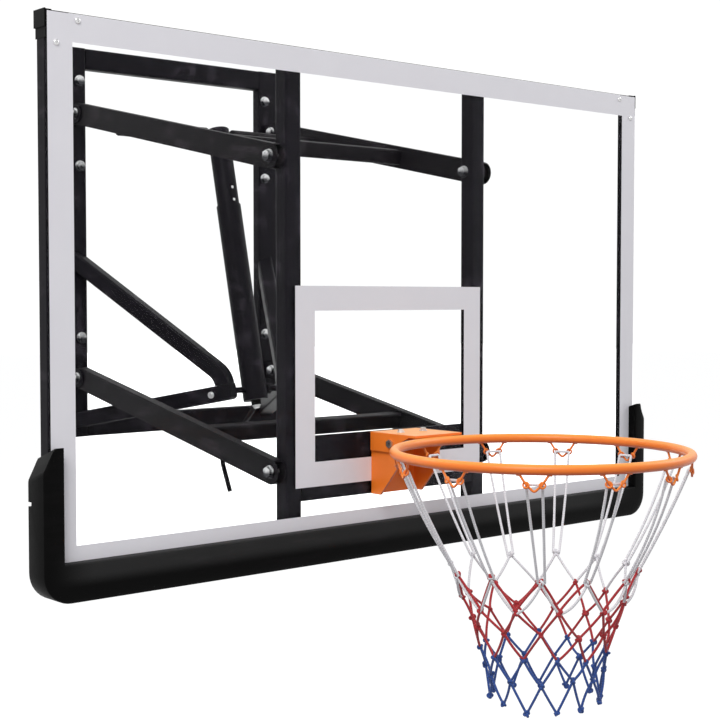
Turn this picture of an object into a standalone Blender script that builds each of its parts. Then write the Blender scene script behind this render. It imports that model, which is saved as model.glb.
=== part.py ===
"""Wall-mounted basketball hoop with a parallelogram height adjustment.

Metres, +Z up.  The origin is the middle of the wall frame's top bar, on its back face.
+Y runs into the wall and the board faces -Y, with +X to the right seen from the court.
"""
import math

import bmesh
import bpy
from mathutils import Matrix, Vector

# Fits
GAP = 0.0003            # between parts that touch
PIN_PLAY = 0.0004       # radial play of a bolt in its hole

# Wall frame
POST_X = 0.2457         # centre of each post from the middle
POST_W = 0.050
BAR_H = 0.042           # height of the top and bottom bars
POST_D = 0.025
POST_T = 0.002          # wall of the tube
FRAME_FOOT = 0.123      # frame below the lower rear pivots
LAG_DROPS = (0.067, 0.240)  # upper lag bolts below the top of the frame
LAG_RISE = 0.0813       # lowest lag bolt above the lower rear pivots
LAG_IN = 0.010          # line of lag bolts and braces inward of the middle of its post
LAG_R = 0.005
LAG_HEAD = 0.016        # across flats
LAG_HEAD_T = 0.006

# Four-bar linkage
UPPER_DROP = 0.1378     # rear upper pivot below the top of the frame
ARM_TAIL = 0.0012       # round end of an arm to the back of its clevis
PIVOT_RISE = 0.534      # lower pivots to upper pivots
ARM_LEN = 0.652         # between pivots
ARM_TILT = math.radians(11.75)
ARM_W = 0.018
ARM_H = 0.043
ARM_T = 0.002
ARM_SIDE = 0.001        # arm to the side of its upright
ARM_NOSE = 0.0012       # round end of an arm to the back of the panel
BOLT_R = 0.005
BOLT_HEAD = 0.017       # across flats
BOLT_HEAD_T = 0.0065
WASHER_R = 0.0115
WASHER_T = 0.0015
EAR_T = 0.003
EAR_SIDE = 0.0005       # ear to the side of its arm
CROSS_AT = 0.4225       # front crossbars along the arms from the rear pivots
CROSS_H = 0.030
CROSS_D = 0.025
CROSS_T = 0.002

# Telescopic strut and its brackets
STRUT_AT = 0.1348       # strut pin along the upper arms from the rear pivots
HANGER_R = 0.016        # tube that carries the strut pin
HANGER_T = 0.002
HANGER_DROP = 0.011     # that tube below the middle of the arms
HANGER_SIDE = 0.0105    # end of that tube to the side of the strut
STRUT_PIN_R = 0.006
STRUT_SLOT = 0.0122     # play of the strut pin each way, across the strut
STRUT_RISE = 0.0053     # play of the strut pin each way, along the strut
APEX_OUT = 0.3003       # apex pin from the wall
APEX_BELOW = 0.0217     # apex pin below the lower rear pivots
APEX_R = 0.006
STRUT_SIDES = 26        # facets round the strut tubes, a flat one at the lock holes
INNER_R = 0.0226
INNER_T = 0.002
INNER_LEN = 0.330       # below the strut pin
SLIDE_PLAY = 0.0004
OUTER_T = 0.002
OUTER_LEN = 0.384       # above the apex pin
OUTER_FOOT = 0.022      # below the apex pin
OUTER_EDGE = 0.0008     # chamfer round the mouth of the outer tube
HOLE_R = 0.0033         # lock holes down the front of the inner tube
HOLE_TOP = 0.114        # first lock hole below the strut pin
HOLE_PITCH = 0.026
HOLES = 6
PLUG_IN = 0.010         # plug inside the foot of the outer tube
PLUG_R = 0.010
PLUG_H = 0.010
PLUG_BOLT_R = 0.0045
PLUG_BOLT_H = 0.004
BRACE_W = 0.032
BRACE_T = 0.002
BRACE_EDGE = 0.004      # rounding of the tube's long edges
BRACE_DROP = 0.4395     # upper brace on the post, below the top of the frame
BRACE_STAND = 0.0355     # corner of the upper brace above the middle of the lower brace
LEG_BELOW = 0.0867      # lower brace on the post, below the lower rear pivots
LEG_END = 0.075         # middle of the lower brace to the middle, at the apex pin
LEG_PAST = 0.021        # lower brace past the apex pin
LEG_SAG = 0.004         # middle of the lower brace below the apex pin
LEG_PLATE = 0.006
LEG_NOSE = 0.012        # rounding under the lower brace's front end
LEVER_R = 0.0048
LEVER_SIDE = 0.002      # lever to the side of the strut
LEVER_BEND = 0.018      # bend of the lever, before and after its corner
LEVER_BOSS_R = 0.0115
LEVER_BOSS_W = 0.009
LEVER_BACK = 0.160      # bend of the lever behind the apex pin
LEVER_DOWN = 0.155
GRIP_FORE = 0.031
GRIP_DOWN = 0.068

# Backboard
BOARD_W = 1.372
BOARD_H = 0.838
PANEL_T = 0.004
PIVOT_BELOW = 0.1828    # front upper pivot below the top of the board
RAIL_W = 0.020
RAIL_D = 0.027
RAIL_T = 0.0015
UPRIGHT_X = 0.222
UPRIGHT_W = 0.032
UPRIGHT_T = 0.002
CAP_LEN = 0.040
CAP_T = 0.0025

# Pad along the bottom edge
PAD_LEG = 0.2345        # height of the side legs
PAD_DOWN = 0.040        # below the board
PAD_SIDE = 0.0197       # beside the board
PAD_LIP_SIDE = 0.0135   # over the face of the board at the sides
PAD_LIP = 0.0195        # over the face of the board at the bottom
PAD_FRONT = 0.019       # before the face of the board
PAD_BACK = 0.003
PAD_CORNER = 0.045
PAD_INNER = 0.003       # chamfer along the inner front edge
PAD_BAND = 0.020        # width of the slanted band along the outer front edge
PAD_BAND_D = 0.0045     # depth of that band
PAD_SHOULDER = 0.034    # height of the sloped shoulder on each leg
PAD_SHOULDER_IN = 0.017
PAD_FALL = 0.019        # top of each leg falls this far to the back
PAD_CREST = 0.004       # small chamfer on top of each leg
PAD_CREST_IN = 0.3      # share of the rounding that reaches the top of a leg
PAD_EDGE = 0.0036       # chamfer along the back
NOTCH_DROP = 0.0825     # notch in the back of each leg, below its top
NOTCH_H = 0.007
NOTCH_D = 0.012

# Rim
RIM_IN = 0.2286         # inside radius of the ring
ROD_R = 0.008
RIM_REACH = 0.127       # face of the board to the inside of the ring
RIM_RISE = 0.1675       # ring's centre line above the lower edge of the board
MOUNT_W = 0.112
MOUNT_H = 0.111
MOUNT_T = 0.005
CHEEK_T = 0.004
CHEEK_NOSE = 0.042      # front edge of a cheek, straight down from the breakaway pivot
CHEEK_FOOT = 0.024      # width of a cheek at its lower end
PLATE_T = 0.004         # folded rim plate
FLANGE_H = 0.033
FLANGE_LEN = 0.073
FLANGE_FLAT = 0.050     # straight lower edge of a flange
FLANGE_TIP = 0.0165     # height of a flange at its front
FLANGE_SIDE = 0.0006
PLATE_BACK = 0.003      # rim plate to the face of the board
HINGE_OUT = 0.055       # breakaway pivot from the face of the board
HINGE_DOWN = 0.018      # below the top of the rim plate
HINGE_R = 0.004
HINGE_HEAD = 0.013
STUD_X = 0.028
STUD_PITCH = 0.052
STUD_R = 0.004
STUD_HEAD = 0.013
STUD_HEAD_T = 0.0053
BACKER_T = 0.004

# Net
NET_COLUMNS = 12
NET_KNOTS = 6           # rows of knots below the long strings
NET_FIRST = 0.156       # drop of the long strings
NET_PITCH = 0.042      # drop of each row of knots
NET_TAPER = 0.205
NET_WAIST = 0.062
CORD_T = 0.0055
KNOT_W = 0.010          # across the first knots, where the long strings meet
HOOK_W = 0.046          # across the welded ends of a hook
HOOK_NECK = 0.024       # across its neck
HOOK_NECK_DROP = 0.0135
HOOK_DROP = 0.025
HOOK_R = 0.0019

# Derived places, each in the frame of its own group
REAR_Y = -POST_D - GAP - EAR_T - ARM_TAIL - ARM_H / 2
FRAME_TOP = BAR_H / 2
LAG_X = POST_X - LAG_IN
UPPER_Z = FRAME_TOP - UPPER_DROP
LOWER_Z = UPPER_Z - PIVOT_RISE
ARM_X = UPRIGHT_X + UPRIGHT_W / 2 + ARM_SIDE + ARM_W / 2
ARM_IN = ARM_X - ARM_W / 2
ARM_OUT = ARM_X + ARM_W / 2
APEX = Vector((0, -APEX_OUT, LOWER_Z - APEX_BELOW))
STRUT_TOP = Vector((0, REAR_Y - STRUT_AT * math.cos(ARM_TILT) + HANGER_DROP * math.sin(ARM_TILT),
                    UPPER_Z - STRUT_AT * math.sin(ARM_TILT) - HANGER_DROP * math.cos(ARM_TILT)))
STRUT_LEN = (STRUT_TOP - APEX).length
STRUT_LEAN = math.atan2(STRUT_TOP.y - APEX.y, STRUT_TOP.z - APEX.z)
OUTER_IN = INNER_R + SLIDE_PLAY
OUTER_R = OUTER_IN + OUTER_T
RAIL_Y = -ARM_H / 2 - ARM_NOSE
FACE_Y = RAIL_Y - GAP - PANEL_T
BOARD_TOP = PIVOT_BELOW
BOARD_LOW = BOARD_TOP - BOARD_H
RIM_R = RIM_IN + ROD_R
RIM_Y = FACE_Y - RIM_REACH - RIM_IN
RIM_Z = BOARD_LOW + RIM_RISE
PLATE_UNDER = RIM_Z + ROD_R + GAP
MOUNT_TOP = PLATE_UNDER + PLATE_T
MOUNT_FRONT = FACE_Y - GAP - MOUNT_T
HINGE = Vector((0, FACE_Y - HINGE_OUT, MOUNT_TOP - HINGE_DOWN))
PAD_FACE = FACE_Y - PAD_FRONT
PAD_REAR = RAIL_Y + RAIL_D + GAP + PAD_BACK
PAD_TOP = BOARD_LOW - PAD_DOWN + PAD_LEG

SIDES = ((-1, "left"), (1, "right"))
BLACK_STEEL = ((0.018, 0.017, 0.020), 0.38, 0.6)
WORN_STEEL = ((0.024, 0.019, 0.022), 0.42, 0.6)
BLACK_PLASTIC = ((0.016, 0.016, 0.017), 0.55, 0.0)
RUBBER = ((0.014, 0.014, 0.015), 0.62, 0.0)
ZINC = ((0.62, 0.62, 0.63), 0.28, 1.0)
ORANGE = ((0.85, 0.21, 0.03), 0.40, 0.1)
CLEAR = ((0.90, 0.92, 0.93), 0.05, 0.0)
CORD = ((0.80, 0.80, 0.82), 0.85, 0.0)


def reset():
    for obj in list(bpy.data.objects):
        bpy.data.objects.remove(obj, do_unlink=True)


def pivot(name, location, parent=None, tilt=0.0):
    """An empty on a joint's axis; the pieces of one moving group hang on it."""
    empty = bpy.data.objects.new(name, None)
    empty.empty_display_size = ARM_H
    empty.location = location
    empty.rotation_euler = (tilt, 0, 0)
    empty.parent = parent
    bpy.context.scene.collection.objects.link(empty)
    return empty


def place(name, bm, parent):
    bmesh.ops.recalc_face_normals(bm, faces=bm.faces[:])
    mesh = bpy.data.meshes.new(name)
    bm.to_mesh(mesh)
    bm.free()
    obj = bpy.data.objects.new(name, mesh)
    obj.parent = parent
    bpy.context.scene.collection.objects.link(obj)
    return obj


def piece(name, bm, parent, look, smooth=35):
    """One named sub-part with its own material."""
    obj = place(name, bm, parent)
    colour, roughness, metallic = look
    mat = bpy.data.materials.new(name)
    mat.use_nodes = True
    shader = mat.node_tree.nodes["Principled BSDF"]
    shader.inputs["Base Color"].default_value = (*colour, 1)
    shader.inputs["Roughness"].default_value = roughness
    shader.inputs["Metallic"].default_value = metallic
    if look is CLEAR:
        shader.inputs["Transmission Weight"].default_value = 1
    mat.diffuse_color = (*colour, 1)
    obj.data.materials.append(mat)
    obj.data.shade_smooth()
    obj.data.set_sharp_from_angle(angle=math.radians(smooth))
    return obj


def cutter(name, bm, parent):
    obj = place("cut_" + name, bm, parent)
    obj.hide_render = True
    obj.display_type = "WIRE"
    return obj


def cut(obj, *tools, operation="DIFFERENCE"):
    for tool in tools:
        mod = obj.modifiers.new(tool.name, "BOOLEAN")
        mod.operation = operation
        mod.solver = "EXACT"
        mod.object = tool


def circle(radius, sides=16):
    return [(radius * math.cos(math.tau * i / sides), radius * math.sin(math.tau * i / sides))
            for i in range(sides)]


def hexagon(flats, sides=12):
    """A hexagon with a point in the middle of each side, to match a round of the same count."""
    points = []
    for i in range(sides):
        angle = math.tau * i / sides
        radius = flats / 2 / math.cos((angle + math.pi / 6) % (math.pi / 3) - math.pi / 6)
        points.append((radius * math.cos(angle), radius * math.sin(angle)))
    return points


def rounded(width, height, radius, steps=2):
    """A rectangle about the origin with rounded corners."""
    points = []
    corners = ((1, 1, 0), (-1, 1, 90), (-1, -1, 180), (1, -1, 270))
    for sx, sy, start in corners:
        for k in range(steps + 1):
            angle = math.radians(start + 90 * k / steps)
            points.append((sx * (width / 2 - radius) + radius * math.cos(angle),
                           sy * (height / 2 - radius) + radius * math.sin(angle)))
    return points


def lay(points, origin, u, v):
    origin, u, v = Vector(origin), Vector(u), Vector(v)
    return [origin + u * a + v * b for a, b in points]


AXES = {"X": (Vector((0, 1, 0)), Vector((0, 0, 1)), Vector((1, 0, 0))),
        "Y": (Vector((0, 0, 1)), Vector((1, 0, 0)), Vector((0, 1, 0))),
        "Z": (Vector((1, 0, 0)), Vector((0, 1, 0)), Vector((0, 0, 1)))}


def skin(bm, rings, closed=False):
    """Walls through rings of one count, capped at both ends or closed on themselves."""
    loops = [[bm.verts.new(p) for p in ring] for ring in rings]
    follow = loops[1:] + (loops[:1] if closed else [])
    for a, b in zip(loops, follow):
        for i in range(len(a)):
            j = (i + 1) % len(a)
            bm.faces.new((a[i], a[j], b[j], b[i]))
    if not closed:
        bm.faces.new(loops[0][::-1])
        bm.faces.new(loops[-1])


def prism(bm, outline, axis, start, end, centre=(0, 0, 0)):
    u, v, w = AXES[axis]
    centre = Vector(centre)
    skin(bm, [lay(outline, centre + w * s, u, v) for s in (start, end)])


def hollow(bm, outer, inner, axis, start, end, centre=(0, 0, 0)):
    """A tube of any section, open at both ends."""
    u, v, w = AXES[axis]
    centre = Vector(centre)
    rings = [lay(ring, centre + w * s, u, v)
             for ring, s in ((outer, start), (outer, end), (inner, end), (inner, start))]
    skin(bm, rings, closed=True)


def box(bm, low, high):
    low, high = Vector(low), Vector(high)
    size = high - low
    at = Matrix.Translation((low + high) / 2) @ Matrix.Diagonal((*size, 1))
    bmesh.ops.create_cube(bm, size=1, matrix=at)


def turned(bm, origin, axis, profile, sides=12, flip=False):
    """A turned piece: rows of (distance, radius), or (distance, flats, "hex")."""
    u, v, w = AXES[axis]
    if flip:
        w, u = -w, -u
    rings = []
    for row in profile:
        section = hexagon(row[1], sides) if len(row) == 3 else circle(row[1], sides)
        rings.append(lay(section, Vector(origin) + w * row[0], u, v))
    skin(bm, rings)


def sweep(bm, path, radius, sides=8, closed=False):
    """A round bar along a path."""
    path = [Vector(p) for p in path]
    count = len(path)
    rings = []
    u = None
    for i, p in enumerate(path):
        before = path[i - 1] if closed or i else p
        after = path[(i + 1) % count] if closed or i < count - 1 else p
        along = (after - before).normalized()
        if u is None:
            u = along.orthogonal().normalized()
            if closed:
                u = Vector((0, 0, 1))
        u = (u - along * u.dot(along)).normalized()
        rings.append(lay(circle(radius, sides), p, u, along.cross(u)))
    skin(bm, rings, closed)


def bend(start, corner, end, reach, steps=5):
    """A smooth turn at a corner, reaching the same way back along both legs."""
    a = corner + (start - corner).normalized() * reach
    b = corner + (end - corner).normalized() * reach
    return [a * (1 - t) ** 2 + corner * 2 * t * (1 - t) + b * t * t
            for t in (k / steps for k in range(steps + 1))]


def box_tube(bm, axis, width_u, width_v, wall, start, end, centre):
    """A rolled rectangular tube with rounded edges, open at both ends."""
    radius = 2 * wall
    hollow(bm, rounded(width_u, width_v, radius), rounded(width_u - 2 * wall, width_v - 2 * wall, wall),
           axis, start, end, centre)


def cross_bolt(name, parent, side, y, z, head_x, nut_x):
    """A bolt along X: head and washer outside at head_x, washer and nut inside at nut_x."""
    grip = head_x - nut_x
    head = -WASHER_T - BOLT_HEAD_T
    bm = bmesh.new()
    turned(bm, (side * head_x, y, z), "X",
           [(head, BOLT_HEAD, "hex"), (-WASHER_T, BOLT_HEAD, "hex"), (-WASHER_T, WASHER_R), (0, WASHER_R),
            (0, BOLT_R), (grip, BOLT_R), (grip, WASHER_R), (grip + WASHER_T, WASHER_R),
            (grip + WASHER_T, BOLT_HEAD, "hex"), (grip + WASHER_T + BOLT_HEAD_T, BOLT_HEAD, "hex")],
           flip=side > 0)
    piece(name, bm, parent, ZINC)


def round_hole(name, parent, y, z, radius):
    """A hole along X through everything at one pivot."""
    reach = ARM_OUT + POST_W
    bm = bmesh.new()
    prism(bm, circle(radius, 12), "X", -reach, reach, (0, y, z))
    return cutter(name, bm, parent)


def wall_frame():
    """Root group: welded frame on the wall, clevises, bolts and the strut's braces."""
    post_low = LOWER_Z - FRAME_FOOT
    lags = [FRAME_TOP - drop for drop in LAG_DROPS] + [LOWER_Z + LAG_RISE]
    lag_holes = bmesh.new()
    for side, word in SIDES:
        for number, z in enumerate(lags, 1):
            at = (side * LAG_X, -POST_D, z)
            turned(lag_holes, at, "Y", [(-LAG_HEAD, LAG_R + PIN_PLAY), (POST_D + LAG_HEAD, LAG_R + PIN_PLAY)])
            bm = bmesh.new()
            turned(bm, at, "Y",
                   [(-GAP - WASHER_T - LAG_HEAD_T, LAG_HEAD, "hex"), (-GAP - WASHER_T, LAG_HEAD, "hex"),
                    (-GAP - WASHER_T, WASHER_R), (-GAP, WASHER_R), (-GAP, LAG_R), (POST_D - GAP, LAG_R)])
            piece("lag_bolt_%s_%d" % (word, number), bm, None, ZINC)
    lag_holes = cutter("lag_holes", lag_holes, None)
    for side, word in SIDES:
        bm = bmesh.new()
        box_tube(bm, "Z", POST_W, POST_D, POST_T, post_low, FRAME_TOP, (side * POST_X, -POST_D / 2, 0))
        cut(piece("wall_post_" + word, bm, None, BLACK_STEEL), lag_holes)
    span = POST_X - POST_W / 2 - GAP
    for word, z in (("top", FRAME_TOP - BAR_H / 2), ("bottom", post_low + BAR_H / 2)):
        bm = bmesh.new()
        box_tube(bm, "X", POST_D, BAR_H, POST_T, -span, span, (0, -POST_D / 2, z))
        piece("wall_bar_" + word, bm, None, BLACK_STEEL)

    for level, z in (("upper", UPPER_Z), ("lower", LOWER_Z)):
        hole = round_hole("rear_%s_hole" % level, None, REAR_Y, z, BOLT_R + PIN_PLAY)
        for side, word in SIDES:
            clevis(side, "clevis_%s_%s" % (level, word), z, hole)
            cross_bolt("rear_bolt_%s_%s" % (level, word), None, side, REAR_Y, z,
                       ARM_OUT + EAR_SIDE + EAR_T + GAP, ARM_IN - EAR_SIDE - EAR_T - GAP)
    braces()


def clevis(side, name, z, hole):
    """A folded bracket on the post whose two ears hold the rear end of an arm."""
    half = ARM_W / 2 + EAR_SIDE
    seat = -POST_D - GAP
    nose = ARM_H / 2 - EAR_T
    outline = [(seat, -nose), (seat, nose)]
    outline += [(REAR_Y - nose * math.sin(math.pi * k / 8), nose * math.cos(math.pi * k / 8))
                for k in range(9)]
    bm = bmesh.new()
    prism(bm, outline, "X", -half - EAR_T, half + EAR_T, (side * ARM_X, 0, z))
    obj = piece(name, bm, None, BLACK_STEEL)
    slot = bmesh.new()
    box(slot, (side * ARM_X - half, REAR_Y - ARM_H, z - ARM_H), (side * ARM_X + half, seat - EAR_T, z + ARM_H))
    cut(obj, cutter(name, slot, None), hole)


def bar_rings(path, normal_0, normal_1, width, edge):
    """Rings of a square bar along a path in an upright plane, mitred at each point."""
    side = (path[-1] - path[0]).cross(Vector((0, 0, 1))).normalized()
    rings = []
    for i, at in enumerate(path):
        before = (at - path[i - 1]).normalized() if i else None
        after = (path[i + 1] - at).normalized() if i < len(path) - 1 else None
        along = before or after
        normal = normal_0 if before is None else normal_1 if after is None else before + after
        ring = lay(rounded(width, width, edge), at, side, side.cross(along))
        rings.append([p + along * ((at - p).dot(normal) / along.dot(normal)) for p in ring])
    return rings


def bar(path, normal_0, normal_1, plate=0.0):
    """A square tube along a path, open at its start; plate closes its far end."""
    bm = bmesh.new()
    outer = bar_rings(path, normal_0, normal_1, BRACE_W, BRACE_EDGE)
    along = (path[-1] - path[-2]).normalized()
    short = path[:-1] + [path[-1] - along * plate / abs(along.dot(normal_1))]
    inner = bar_rings(short, normal_0, normal_1, BRACE_W - 2 * BRACE_T, BRACE_EDGE - BRACE_T)
    skin(bm, inner[::-1] + outer, closed=not plate)
    return bm


def front_end(name, tip, along, lift):
    """Room for a lower brace with the lower corner of its front end rounded off."""
    side = along.cross(lift)
    low, high = -BRACE_W / 2 - GAP, BRACE_W
    back, front = -APEX_OUT - POST_X, LEG_PAST + GAP
    heel, toe, top = Vector((back, low)), Vector((front, low)), Vector((front, high))
    outline = [(back, high), heel] + bend(heel, toe, top, LEG_NOSE) + [top]
    bm = bmesh.new()
    skin(bm, [lay(outline, tip + side * s, along, lift) for s in (-BRACE_W, BRACE_W)])
    return cutter(name, bm, None)


def braces():
    """On each side a lower brace out to the apex pin, and a bent upper brace that stands on it."""
    face = Vector((0, 1, 0))
    seat = -POST_D - GAP
    bm = bmesh.new()
    prism(bm, circle(APEX_R + PIN_PLAY, 12), "X", -LEG_END, LEG_END, APEX)
    hole = cutter("apex_hole", bm, None)
    for side, word in SIDES:
        foot = Vector((side * LAG_X, seat, LOWER_Z - LEG_BELOW))
        tip = Vector((side * LEG_END, APEX.y, APEX.z - LEG_SAG))
        along = (tip - foot).normalized()
        lift = along.cross(Vector((0, 0, 1))).cross(along).normalized()
        lower = piece("brace_lower_" + word, bar([foot, tip + along * LEG_PAST], face, along, LEG_PLATE), None,
                      BLACK_STEEL)
        cut(lower, hole)
        cut(lower, front_end("brace_nose_" + word, tip, along, lift), operation="INTERSECT")
        head = Vector((side * LAG_X, seat, FRAME_TOP - BRACE_DROP))
        stand = tip + along * (LEG_PAST - BRACE_W / 2)
        corner = stand + lift * BRACE_STAND
        rest = stand + lift * (BRACE_W / 2 + GAP)
        path = [head] + bend(head, corner, rest, (rest - corner).length)
        piece("brace_upper_" + word, bar(path, face, lift), None, BLACK_STEEL)
    bm = bmesh.new()
    prism(bm, circle(APEX_R, 12), "X", -LEG_END, LEG_END, APEX)
    piece("apex_pin", bm, None, ZINC)


def arm_pair(level, group):
    """Left and right arms with round ends, hollow along their length, and a front crossbar."""
    rear = round_hole(level + "_rear_bore", group, 0, 0, BOLT_R + PIN_PLAY)
    front = round_hole(level + "_front_bore", group, -ARM_LEN, 0, BOLT_R + PIN_PLAY)
    bore = bmesh.new()
    for side in (-1, 1):
        box(bore, (side * ARM_X - ARM_W / 2 + ARM_T, -ARM_LEN - ARM_H, -ARM_H / 2 + ARM_T),
            (side * ARM_X + ARM_W / 2 - ARM_T, ARM_H, ARM_H / 2 - ARM_T))
    bore = cutter(level + "_arm_bore", bore, group)
    for side, word in SIDES:
        bm = bmesh.new()
        prism(bm, rounded(ARM_LEN + ARM_H, ARM_H, ARM_H / 2, 8), "X", -ARM_W / 2, ARM_W / 2,
              (side * ARM_X, -ARM_LEN / 2, 0))
        cut(piece("%s_arm_%s" % (level, word), bm, group, WORN_STEEL), bore, rear, front)
    bm = bmesh.new()
    half = ARM_IN - GAP
    box_tube(bm, "X", CROSS_D, CROSS_H, CROSS_T, -half, half, (0, -CROSS_AT, 0))
    piece(level + "_crossbar", bm, group, WORN_STEEL)


def upper_arms():
    group = pivot("upper_arms_pivot", (0, REAR_Y, UPPER_Z), tilt=ARM_TILT)
    arm_pair("upper", group)
    inner = INNER_R + HANGER_SIDE
    for side, word in SIDES:
        bm = bmesh.new()
        ends = sorted((side * inner, side * (ARM_IN - GAP)))
        hollow(bm, circle(HANGER_R), circle(HANGER_R - HANGER_T), "X", *ends, (0, -STRUT_AT, -HANGER_DROP))
        piece("hanger_" + word, bm, group, WORN_STEEL)
    bm = bmesh.new()
    plug = HANGER_R - HANGER_T - GAP
    reach = inner + HANGER_R
    turned(bm, (-reach, -STRUT_AT, -HANGER_DROP), "X",
           [(0, plug), (HANGER_R, plug), (HANGER_R, STRUT_PIN_R), (2 * reach - HANGER_R, STRUT_PIN_R),
            (2 * reach - HANGER_R, plug), (2 * reach, plug)], sides=16)
    piece("strut_pin", bm, group, ZINC)
    for side, word in SIDES:
        cross_bolt("front_bolt_upper_" + word, group, side, -ARM_LEN, 0, ARM_OUT + GAP,
                   UPRIGHT_X - UPRIGHT_W / 2 - GAP)
    return group


def lower_arms():
    group = pivot("lower_arms_pivot", (0, REAR_Y, LOWER_Z), tilt=ARM_TILT)
    arm_pair("lower", group)


def strut():
    outer = pivot("strut_pivot", APEX, tilt=-STRUT_LEAN)
    bm = bmesh.new()
    rows = [(OUTER_R, -OUTER_FOOT), (OUTER_R, OUTER_LEN - OUTER_EDGE), (OUTER_R - OUTER_EDGE, OUTER_LEN),
            (OUTER_IN, OUTER_LEN), (OUTER_IN, -OUTER_FOOT)]
    u, v, w = AXES["Z"]
    skin(bm, [lay(circle(r, STRUT_SIDES), w * z, u, v) for r, z in rows], closed=True)
    cut(piece("strut_outer", bm, outer, BLACK_STEEL),
        round_hole("strut_foot_hole", outer, 0, 0, APEX_R + PIN_PLAY))
    bm = bmesh.new()
    plug = OUTER_IN - GAP
    turned(bm, (0, 0, -OUTER_FOOT), "Z",
           [(-PLUG_H - PLUG_BOLT_H, PLUG_BOLT_R), (-PLUG_H, PLUG_BOLT_R), (-PLUG_H, PLUG_R), (0, PLUG_R),
            (0, plug), (PLUG_IN, plug)], sides=STRUT_SIDES)
    piece("strut_plug", bm, outer, BLACK_PLASTIC)

    slide = pivot("strut_slide", (0, 0, STRUT_LEN), outer)
    bm = bmesh.new()
    crown = STRUT_PIN_R + STRUT_RISE + INNER_T
    rows = [(INNER_R - INNER_T, crown - INNER_T), (INNER_R - INNER_T, -INNER_LEN), (INNER_R, -INNER_LEN),
            (INNER_R, crown), (INNER_R - INNER_T, crown + INNER_T)]
    skin(bm, [lay(circle(r, STRUT_SIDES), w * z, u, v) for r, z in rows])
    body = piece("strut_inner", bm, slide, BLACK_STEEL)
    slot = bmesh.new()
    height = 2 * (STRUT_PIN_R + STRUT_RISE)
    prism(slot, rounded(height + 2 * (STRUT_SLOT - STRUT_RISE), height, height / 2, 6), "X",
          -2 * INNER_R, 2 * INNER_R)
    holes = bmesh.new()
    for k in range(HOLES):
        turned(holes, (0, -2 * INNER_R, -HOLE_TOP - HOLE_PITCH * k), "Y", [(0, HOLE_R), (2 * INNER_R, HOLE_R)])
    cut(body, cutter("strut_slot", slot, slide), cutter("lock_holes", holes, slide))
    lever(pivot("lever_pivot", (0, 0, 0), outer, STRUT_LEAN))


def lever(group):
    """A bent rod that turns on the apex pin beside the strut."""
    hub = Vector((OUTER_R + LEVER_SIDE + LEVER_BOSS_W / 2, 0, 0))
    bm = bmesh.new()
    ring = circle(LEVER_BOSS_R, 20), circle(APEX_R + PIN_PLAY, 20)
    hollow(bm, *ring, "X", -LEVER_BOSS_W / 2, LEVER_BOSS_W / 2, hub)
    obj = piece("release_lever", bm, group, BLACK_STEEL)
    corner = hub + Vector((0, LEVER_BACK, -LEVER_DOWN))
    tip = corner + Vector((0, -GRIP_FORE, -GRIP_DOWN))
    first = hub + (corner - hub).normalized() * (LEVER_BOSS_R - LEVER_R / 2)
    rod = bmesh.new()
    sweep(rod, [first] + bend(hub, corner, tip, LEVER_BEND) + [tip], LEVER_R, 8)
    cut(obj, cutter("lever_rod", rod, group), operation="UNION")


def backboard(arms):
    """Clear panel on a tube frame, with uprights that hang on the arms."""
    group = pivot("board_pivot", (0, -ARM_LEN, 0), arms, -ARM_TILT)
    half = BOARD_W / 2
    studs = bmesh.new()
    stud_rows = [MOUNT_TOP - MOUNT_H / 2 + s * STUD_PITCH / 2 for s in (-1, 1)]
    reach = RAIL_Y + BACKER_T - MOUNT_FRONT + STUD_HEAD_T
    for x in (-STUD_X, STUD_X):
        for z in stud_rows:
            turned(studs, (x, MOUNT_FRONT, z), "Y",
                   [(-STUD_HEAD_T, STUD_R + PIN_PLAY), (reach, STUD_R + PIN_PLAY)])
    studs = cutter("stud_holes", studs, group)

    bm = bmesh.new()
    box(bm, (-half, FACE_Y, BOARD_LOW), (half, FACE_Y + PANEL_T, BOARD_TOP))
    cut(piece("panel", bm, group, CLEAR), studs)

    mid = RAIL_Y + RAIL_D / 2
    for word, z in (("top", BOARD_TOP - RAIL_W / 2), ("bottom", BOARD_LOW + RAIL_W / 2)):
        bm = bmesh.new()
        box_tube(bm, "X", RAIL_D, RAIL_W, RAIL_T, -half, half, (0, mid, z))
        piece("rail_" + word, bm, group, BLACK_STEEL)
    low, high = BOARD_LOW + RAIL_W + GAP, BOARD_TOP - RAIL_W - GAP
    lift = round_hole("upright_upper_hole", group, 0, 0, BOLT_R + PIN_PLAY)
    drop = round_hole("upright_lower_hole", group, 0, -PIVOT_RISE, BOLT_R + PIN_PLAY)
    for side, word in SIDES:
        bm = bmesh.new()
        box_tube(bm, "Z", RAIL_W, RAIL_D, RAIL_T, low, high, (side * (half - RAIL_W / 2), mid, 0))
        piece("rail_" + word, bm, group, BLACK_STEEL)
        bm = bmesh.new()
        box_tube(bm, "Z", UPRIGHT_W, UPRIGHT_W, UPRIGHT_T, low, high,
                 (side * UPRIGHT_X, RAIL_Y + UPRIGHT_W / 2, 0))
        cut(piece("upright_" + word, bm, group, BLACK_STEEL), lift, drop)
        cross_bolt("front_bolt_lower_" + word, group, side, 0, -PIVOT_RISE, ARM_OUT + GAP,
                   UPRIGHT_X - UPRIGHT_W / 2 - GAP)
        corner_cap(side, "corner_cap_" + word, group)

    bm = bmesh.new()
    edge = UPRIGHT_X - UPRIGHT_W / 2 - GAP
    box(bm, (-edge, RAIL_Y, MOUNT_TOP - MOUNT_H), (edge, RAIL_Y + BACKER_T, MOUNT_TOP))
    cut(piece("rim_backer", bm, group, BLACK_STEEL), studs)
    pad(group)
    rim_mount(group, studs, stud_rows)
    return group


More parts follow.
